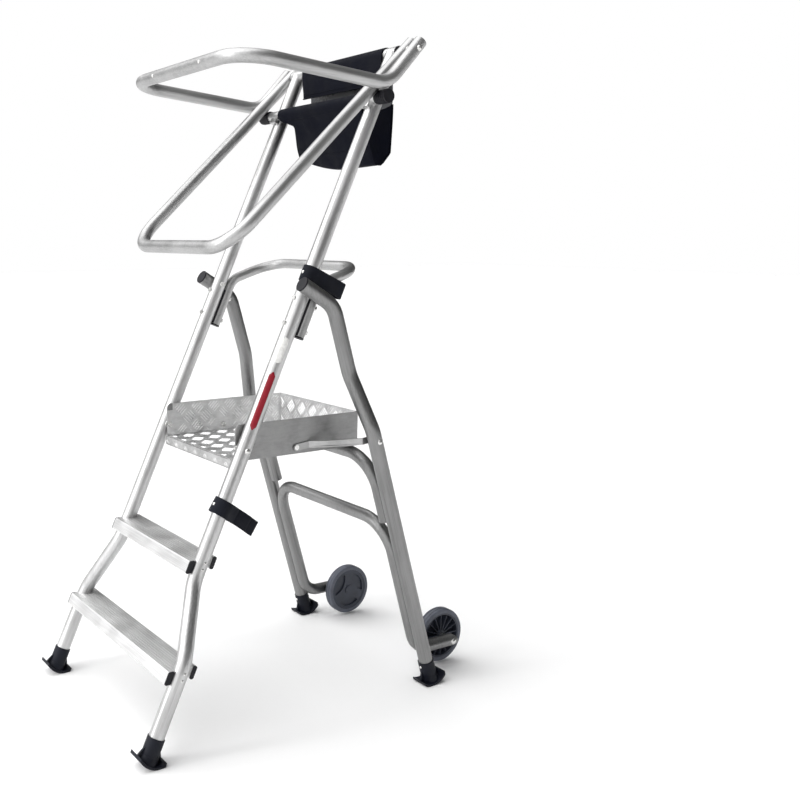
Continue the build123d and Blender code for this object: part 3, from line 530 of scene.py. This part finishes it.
# The floor lifts towards the left side and sags in the middle.
FLOOR_EASE = 0.02
SIDE_LIFT, LIFT_START, LIFT_REACH, LIFT_POWER = 0.034, 0.02, 0.19, 1.5
FLOOR_SAG = 0.003
# Ripples of two sizes: waves per metre across and up, a place in the noise, and a depth.
RIPPLES = ((16, 11, 3.1, 0.0035), (45, 30, 7.7, 0.0012))
# On the panels the ripples fade towards the sides, and the cloth between the edges hangs forwards. The
# flap ripples less, and its hem leans forwards.
SLACK_POWER = 0.4
BACK_PULL, FRONT_BELLY, FLAP_LEAN, FLAP_RIPPLE = 0.0015, 0.004, 0.002, 0.6
BACK_EASE = (0.02, 0.06)
ACROSS = 44
# Points across a gusset, how far it folds inwards and sags, and the part of the fold that is the same
# in every row.
GUSSET_POINTS = 7
GUSSET_FOLD, GUSSET_SAG, GUSSET_EVEN = 0.010, 0.018, 0.4
SEAM_RADIUS, HEM_RADIUS, STITCH_RADIUS = 0.0021, 0.0020, 0.0008
HEM_UP, STITCH_OUT = 0.001, 0.0004
SLEEVE_STITCH_ROWS = 8


def run(start, end, count):
    """Points after start, up to and including end."""
    return [start.lerp(end, (k + 1) / count) for k in range(count)]


def arc(centre, radius, first, last, count):
    """Points on an arc in the side view, angles in degrees from straight back."""
    angles = [math.radians(first + (last - first) * k / (count - 1)) for k in range(count)]
    return [Vector((centre[0] + radius * math.cos(t), centre[1] + radius * math.sin(t))) for t in angles]


def tray_stations():
    """The cloth's side view from the flap's hem, over the bars, to the front sleeve's seam.

    Gives the points, and the numbers of the first and the last one that the gussets are sewn to.
    """
    hem = Vector((BAR_TOP.y - TOP_WRAP - HEM_STAND_OFF, BAR_TOP.z - FLAP))
    over = arc((BAR_TOP.y, BAR_TOP.z), TOP_WRAP, *TOP_ARC)
    rear_bottom = Vector((TRAY_HIGH.y - REAR_CLEARANCE, FLOOR_Z + REAR_RISE + ROUNDING))
    level = Vector((rear_bottom.x, BAR_LOW.z - ROUNDING))
    corner = Vector((rear_bottom.x - ROUNDING, rear_bottom.y - 1.5 * ROUNDING))
    front_bottom = Vector((FLOOR_FRONT_Y + ROUNDING, FLOOR_Z + ROUNDING))
    floor_end = Vector((front_bottom.x + 5 * ROUNDING, FLOOR_Z))
    turn_up = Vector((front_bottom.x + 0.75 * ROUNDING, FLOOR_Z + 0.125 * ROUNDING))
    wrap = arc((BAR_LOW.y, BAR_LOW.z), LOW_WRAP, *LOW_ARC)

    side_view = [hem] + run(hem, over[0], FLAP_ROWS) + over[1:] + run(over[-1], level, BACK_ROWS)
    first = len(side_view) - 1
    side_view += run(level, rear_bottom, PANEL_ROWS) + [corner] + run(corner, floor_end, FLOOR_ROWS)
    side_view += run(floor_end, turn_up, CORNER_ROWS) + [front_bottom]
    side_view += run(front_bottom, wrap[0], PANEL_ROWS)
    last = len(side_view) - 1
    return side_view + wrap[1:], first, last


def ease(value, low, high):
    """0 below low, 1 above high, smooth between."""
    t = min(1.0, max(0.0, (value - low) / (high - low)))
    return t * t * (3 - 2 * t)


def tray_edges(index, point, first, last):
    """How far the cloth reaches to the left and right at a station."""
    if index < first:
        if point.x >= BAR_TOP.y:
            return BACK_LEFT, TOP_RIGHT
        return FLAP_LEFT + FLAP_TAPER * ease(BAR_TOP.z - point.y, 0.0, FLAP), TOP_RIGHT
    height = ease(point.y, FLOOR_Z, NECK_END)
    if index <= (first + last) / 2:
        return REAR_LEFT + REAR_LEFT_GROWTH * height, REAR_RIGHT + REAR_RIGHT_GROWTH * height
    neck = ease(point.y, NECK_START, NECK_END)
    left = FRONT_LEFT + FRONT_LEFT_GROWTH * height + NECK_LEFT_GROWTH * neck
    return left, FRONT_RIGHT + FRONT_RIGHT_GROWTH * height + NECK_RIGHT_GROWTH * neck


def tray_grid(side_view, first, last):
    """The strip's points, row by row from the flap's hem, with the slack and ripples of hung cloth."""
    verts = []
    centre = (first + last) / 2
    for index, point in enumerate(side_view):
        left, right = tray_edges(index, point, first, last)
        bottom = 0.0
        if first <= index <= last:
            bottom = ease(BAR_LOW.z - point.y, FLOOR_EASE, BAR_LOW.z - FLOOR_Z)
        for k in range(ACROSS + 1):
            u = k / ACROSS
            x = left + (right - left) * u
            slack = math.sin(math.pi * u)
            lift = SIDE_LIFT * bottom * max(0.0, (LIFT_START - x) / LIFT_REACH) ** LIFT_POWER
            y, z = point.x, point.y + lift - FLOOR_SAG * bottom * slack
            ripple = sum(noise.noise(Vector((x * wide, seed, z * high))) * deep
                         for wide, high, seed, deep in RIPPLES)
            free = slack ** SLACK_POWER
            if first < index < centre:
                y += (ripple - BACK_PULL) * free * ease(BAR_TOP.z - z, *BACK_EASE)
            elif centre <= index < last - 1:
                belly = FRONT_BELLY * math.sin(math.pi * (index - centre) / (last - centre))
                y += (ripple - belly) * free
            elif index <= FLAP_ROWS:
                y += ripple * FLAP_RIPPLE - FLAP_LEAN * (1 - index / (FLAP_ROWS + 1))
            verts.append(Vector((x, y, z)))
    return verts


def gusset(edge, side, first, last, verts, faces):
    """A side panel between the rear and the front panel, folded inwards and sagging."""
    width = ACROSS + 1
    rows = (last - first - GUSSET_POINTS - 1) // 2
    previous = None
    for row in range(rows + 1):
        start, end = first + row, last - row
        ids = [s * width + edge for s in range(start, end + 1)]
        if row < rows:
            a, b = verts[ids[0]], verts[ids[-1]]
            inner = []
            for m in range(1, GUSSET_POINTS + 1):
                t = m / (GUSSET_POINTS + 1)
                bow = math.sin(math.pi * t)
                fullness = GUSSET_EVEN + (1 - GUSSET_EVEN) * math.sin(math.pi * (row + 1) / (rows + 1))
                sag = GUSSET_SAG * bow * (1 - row / rows) ** 2
                verts.append(a.lerp(b, t) + Vector((-side * GUSSET_FOLD * bow * fullness, 0, -sag)))
                inner.append(len(verts) - 1)
            ids = [ids[0], *inner, ids[-1]]
        if previous:
            for m in range(min(len(ids), len(previous)) - 1):
                faces.append((previous[m], previous[m + 1], ids[m + 1], ids[m]))
        previous = ids


def tray_cloth():
    """One strip of cloth over both crossbars, with gussets sewn into its sides."""
    side_view, first, last = tray_stations()
    verts, faces = tray_grid(side_view, first, last), []
    width = ACROSS + 1
    for index in range(len(side_view) - 1):
        for k in range(ACROSS):
            a = index * width + k
            faces.append((a, a + 1, a + 1 + width, a + width))
    for edge, side in ((0, -1), (ACROSS, 1)):
        gusset(edge, side, first, last, verts, faces)
    bag = piece("tool_tray_cloth", verts, faces, "front_frame", "tray_fabric", M["cloth"], M["coating"])
    thick = bag.modifiers.new("thickness", "SOLIDIFY")
    thick.thickness = CLOTH
    thick.offset = 0.0
    # The second side gets the second material, and the rim the first.
    thick.material_offset = 1
    thick.material_offset_rim = 0
    smooth = bag.modifiers.new("soft", "SUBSURF")
    smooth.levels = smooth.render_levels = 1
    return bag, verts, first, last


STEEP = 0.9
OFF_UPRIGHT = Vector((0.3, 0.2, 1.0))


def piping(points, radius, verts, faces, sides=6):
    """A thin round cord along a line of points, closed at both ends."""
    base = len(verts)
    for k, point in enumerate(points):
        ahead = points[min(k + 1, len(points) - 1)] - points[max(k - 1, 0)]
        ahead.normalize()
        aside = ahead.cross(OFF_UPRIGHT if abs(ahead.z) < STEEP else X).normalized()
        lift = ahead.cross(aside)
        for n in range(sides):
            t = 2 * math.pi * n / sides
            verts.append(point + aside * (radius * math.cos(t)) + lift * (radius * math.sin(t)))
    for k in range(len(points) - 1):
        for n in range(sides):
            a, b = base + k * sides + n, base + k * sides + (n + 1) % sides
            faces.append((a, b, b + sides, a + sides))
    faces.append(tuple(base + n for n in range(sides)))
    faces.append(tuple(base + (len(points) - 1) * sides + n for n in reversed(range(sides))))


def tray():
    """The fabric tray with its piped seams and stitched hems."""
    bag, grid, first, last = tray_cloth()
    width = ACROSS + 1
    verts, faces = [], []
    for edge in (0, ACROSS):
        piping([grid[s * width + edge] for s in range(first, last + 1)], SEAM_RADIUS, verts, faces)
    piping([grid[k] + Z * HEM_UP for k in range(width)], HEM_RADIUS, verts, faces)
    out = -Y * (CLOTH / 2 + STITCH_OUT)
    for row in (1, last - 1, last - 1 - SLEEVE_STITCH_ROWS):
        line = [grid[row * width + k] + out for k in range(1, width - 1)]
        piping(line, STITCH_RADIUS, verts, faces)
    seams = piece("tool_tray_seams", verts, faces, "front_frame", "tray_fabric", M["cloth"])
    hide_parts("tool_tray")


tray()

# ------------------------------------------------------------------ woven straps
STILE_X = 0.219
# The part's own drawing is moved down and towards the front feet by these to stand in the frame.
FLOOR_LEVEL = 0.008
FOOTPRINT_MIDDLE = 0.53589
STRAP_WIDTH = 0.0415
STRAP_THICK = 0.0033
STRAP_EDGE, STRAP_CHAMFER = 0.0011, 0.0007
# The stretch behind the stile over which a strap's tail droops.
DROOP_START, DROOP_END, DROOP_POWER = 0.04, 0.13, 1.5
FRONT_STEPS, SIDE_STEPS, TAIL_STEPS = 14, 8, (8, 12)
# Where each strap sits, the inner radius round the stile, the upper one's outer radius at its rear end,
# and the reach to that end.
UPPER_HEIGHT, UPPER_FRONT, UPPER_REAR, UPPER_REACH = 1.173, 0.0205, 0.0185, 0.097
LOWER_HEIGHT, LOWER_FRONT, LOWER_REACH = 0.588, 0.0243, 0.050
LOWER_DROOP, LOWER_HANG = 9.0, 0.004
TAIL_START, TAIL_LENGTHS = 0.052, (0.044, 0.070)
# Between the two layers of the tail, half on each side.
LAYER_GAP = 0.0001


def stile_axis(height):
    """The right stile's axis at a height of the drawing, above the bends."""
    back = height * math.tan(math.radians(STILE_LEAN))
    return Vector((STILE_X, back - FOOTPRINT_MIDDLE, height - FLOOR_LEVEL))


def ribbon(name, path, closed, height, droop, hang, replaced):
    """A woven strap along a path in the plane square to the stile."""
    lean = math.radians(STILE_LEAN + droop)
    behind = Vector((0, math.cos(lean), -math.sin(lean)))
    up = Vector((0, math.sin(lean), math.cos(lean)))
    origin = stile_axis(height)
    half, thin = STRAP_WIDTH / 2, STRAP_THICK / 2
    side, flat = half - STRAP_EDGE, thin - STRAP_CHAMFER
    section = ((thin, side), (flat, half), (-flat, half), (-thin, side),
               (-thin, -side), (-flat, -half), (flat, -half), (thin, -side))
    verts, faces = [], []
    count = len(path)
    for k, point in enumerate(path):
        before = path[k - 1] if k or closed else path[0]
        after = path[(k + 1) % count] if k < count - 1 or closed else path[-1]
        along = (after - before).normalized()
        normal = Vector((along.y, -along.x))
        drop = hang * ease(point.y, DROOP_START, DROOP_END) ** DROOP_POWER
        for out, across in section:
            spot = point + normal * out
            verts.append(origin + X * spot.x + behind * spot.y + up * (across - drop))
    size = len(section)
    for k in range(count if closed else count - 1):
        n = (k + 1) % count
        for m in range(size):
            a, b = k * size + m, k * size + (m + 1) % size
            faces.append((a, b, n * size + (m + 1) % size, n * size + m))
    if not closed:
        faces.append(tuple(range(size)))
        faces.append(tuple((count - 1) * size + m for m in reversed(range(size))))
    strap = piece(name, verts, faces, "front_frame", "strap", M["webbing"])
    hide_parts(replaced)


def belt_path(big, small, reach):
    """Half of a belt's centre line: from the front of the large circle to behind the small one."""
    tilt = math.asin((big - small) / reach)
    turns = [k * (math.pi / 2 + tilt) / FRONT_STEPS for k in range(FRONT_STEPS + 1)]
    front = [Vector((big * math.sin(t), -big * math.cos(t))) for t in turns]
    rear_start = Vector((small * math.cos(tilt), reach + small * math.sin(tilt)))
    side = [front[-1].lerp(rear_start, k / SIDE_STEPS) for k in range(1, SIDE_STEPS)]
    turns = [tilt + k * (math.pi / 2 - tilt) / SIDE_STEPS for k in range(SIDE_STEPS + 1)]
    rear = [Vector((small * math.cos(t), reach + small * math.sin(t))) for t in turns]
    return front + side + rear


def mirrored(path):
    """The same path on the other side of the stile."""
    return [Vector((-p.x, p.y)) for p in path]


def tail(side, length, steps):
    """A straight end of a strap that points back from the stile."""
    return [Vector((side, TAIL_START + length * k / steps)) for k in range(steps + 1)]


def straps():
    """The upper strap is a closed loop, the lower one a loop pressed flat into a tail."""
    half = belt_path(UPPER_FRONT + STRAP_THICK / 2, UPPER_REAR - STRAP_THICK / 2, UPPER_REACH)
    loop = half + mirrored(reversed(half[1:-1]))
    ribbon("strap_upper_tape", loop, True, UPPER_HEIGHT, 0.0, 0.0, "strap_upper")
    layer = STRAP_THICK / 2 + LAYER_GAP
    half = belt_path(LOWER_FRONT + STRAP_THICK / 2, layer, LOWER_REACH)[:-SIDE_STEPS]
    near, far = (tail(side, length, steps)
                 for side, length, steps in zip((layer, -layer), TAIL_LENGTHS, TAIL_STEPS))
    path = near[::-1] + half[::-1] + mirrored(half[1:]) + far
    ribbon("strap_lower_tape", path, False, LOWER_HEIGHT, LOWER_DROOP, LOWER_HANG, "strap_lower")


straps()


# ------------------------------------------------------------------ plain bands on the right stile
FILM_INNER, FILM_OUTER = 0.01995, 0.0202
BAND_ROWS, BAND_COLUMNS = 16, 8
# The share of a band's half length where its rounded end starts, and the least share of its width.
END_START, END_WIDTH = 0.86, 0.2


def band(name, height, length, facing, spread, material):
    """A thin curved film on the stile, with rounded ends."""
    lean = math.radians(STILE_LEAN)
    up = Vector((0, math.sin(lean), math.cos(lean)))
    front = Vector((0, -math.cos(lean), math.sin(lean)))
    verts, faces = [], []
    for radius in (FILM_INNER, FILM_OUTER):
        for r in range(BAND_ROWS + 1):
            t = 2 * r / BAND_ROWS - 1
            end = max(0.0, abs(t) - END_START) / (1 - END_START)
            narrow = math.sqrt(max(END_WIDTH ** 2, 1 - end * end))
            for c in range(BAND_COLUMNS + 1):
                angle = math.radians(facing + spread * narrow * (c / BAND_COLUMNS - 0.5))
                out = X * math.sin(angle) + front * math.cos(angle)
                verts.append(stile_axis(height) + up * (t * length / 2) + out * radius)
    wide = BAND_COLUMNS + 1
    layer = (BAND_ROWS + 1) * wide
    for r in range(BAND_ROWS):
        for c in range(BAND_COLUMNS):
            a = r * wide + c
            faces.append((a, a + wide, a + wide + 1, a + 1))
            faces.append((a + layer, a + 1 + layer, a + wide + 1 + layer, a + wide + layer))
    rim = list(range(wide)) + [r * wide + BAND_COLUMNS for r in range(1, BAND_ROWS + 1)]
    rim += [BAND_ROWS * wide + c for c in range(BAND_COLUMNS - 1, -1, -1)]
    rim += [r * wide for r in range(BAND_ROWS - 1, 0, -1)]
    for k, a in enumerate(rim):
        b = rim[(k + 1) % len(rim)]
        faces.append((a, b, b + layer, a + layer))
    piece(name, verts, faces, "front_frame", "black_plastic", material)


band("stile_band_white", height=0.980, length=0.070, facing=60, spread=56, material=M["white_film"])
band("stile_band_red", height=0.853, length=0.158, facing=60, spread=50, material=M["red_film"])

# ------------------------------------------------------------------ floor and light
FLOOR_SIZE = 60.0
FLOOR_ALBEDO = 0.95
# The brightest direction of the reflected studio, and its shades from the opposite side to this one.
WORLD_BRIGHT = (-0.05, -0.96, 0.25)
SHADES = (
    (0.0, 0.08), (0.30, 0.16), (0.42, 0.34), (0.52, 0.14),
    (0.64, 0.26), (0.76, 0.44), (0.88, 1.35), (1.0, 1.25),
)


def paper_floor():
    """A wide white floor."""
    half = FLOOR_SIZE / 2
    mesh = bpy.data.meshes.new("floor")
    corners = [(-half, -half, 0), (half, -half, 0), (half, half, 0), (-half, half, 0)]
    mesh.from_pydata(corners, [], [(0, 1, 2, 3)])
    obj = bpy.data.objects.new("floor", mesh)
    bpy.context.scene.collection.objects.link(obj)
    look = Nodes("floor_white")
    look.fix(colour=grey(FLOOR_ALBEDO), roughness=0.7, specular=0.15)
    mesh.materials.append(look.material)


def studio_world():
    """White behind the object, and soft shades of a studio in its reflections."""
    world = bpy.data.worlds.new("studio")
    bpy.context.scene.world = world
    world.use_nodes = True
    sky = world.node_tree
    direction = sky.nodes.new("ShaderNodeTexCoord")
    side = sky.nodes.new("ShaderNodeVectorMath")
    side.operation = "DOT_PRODUCT"
    side.inputs[1].default_value = WORLD_BRIGHT
    sky.links.new(direction.outputs["Generated"], side.inputs[0])
    shift = sky.nodes.new("ShaderNodeMapRange")
    shift.inputs["From Min"].default_value = -1.0
    sky.links.new(side.outputs["Value"], shift.inputs["Value"])
    shade = sky.nodes.new("ShaderNodeValToRGB")
    shade.color_ramp.interpolation = "EASE"
    while len(shade.color_ramp.elements) < len(SHADES):
        shade.color_ramp.elements.new(0.5)
    for element, (place, level) in zip(shade.color_ramp.elements, SHADES):
        element.position = place
        element.color = (*grey(level), 1.0)
    sky.links.new(shift.outputs["Result"], shade.inputs["Fac"])
    seen = sky.nodes.new("ShaderNodeLightPath")
    choose = sky.nodes.new("ShaderNodeMix")
    choose.data_type = "RGBA"
    sky.links.new(seen.outputs["Is Camera Ray"], choose.inputs["Factor"])
    reflected, white = (s for s in choose.inputs if s.type == "RGBA")
    sky.links.new(shade.outputs["Color"], reflected)
    white.default_value = (*grey(1.0), 1.0)
    mixed = next(s for s in choose.outputs if s.type == "RGBA")
    background = sky.nodes["Background"]
    sky.links.new(mixed, background.inputs["Color"])
    background.inputs["Strength"].default_value = 1.0


def softbox(name, place, aim, size, power):
    """A rectangular lamp at a place, facing a point."""
    data = bpy.data.lights.new(name, "AREA")
    data.shape = "RECTANGLE"
    data.size, data.size_y = size
    data.energy = power
    lamp = bpy.data.objects.new(name, data)
    lamp.location = place
    lamp.rotation_euler = (Vector(aim) - Vector(place)).to_track_quat("-Z", "Y").to_euler()
    bpy.context.scene.collection.objects.link(lamp)


def broad_sky(name, source, spread, strength):
    """A very soft light from one side of the sky, the same all over the floor."""
    data = bpy.data.lights.new(name, "SUN")
    data.energy = strength
    data.angle = math.radians(spread)
    lamp = bpy.data.objects.new(name, data)
    lamp.rotation_euler = Vector(source).to_track_quat("Z", "Y").to_euler()
    bpy.context.scene.collection.objects.link(lamp)


bpy.context.scene.view_settings.view_transform = "Standard"
paper_floor()
studio_world()
broad_sky("overhead", source=(-0.35, -0.40, 1.0), spread=80.0, strength=2.7)
softbox("key", place=(-0.6, -4.3, 2.0), aim=(0, 0, 0.9), size=(0.7, 2.6), power=45.0)
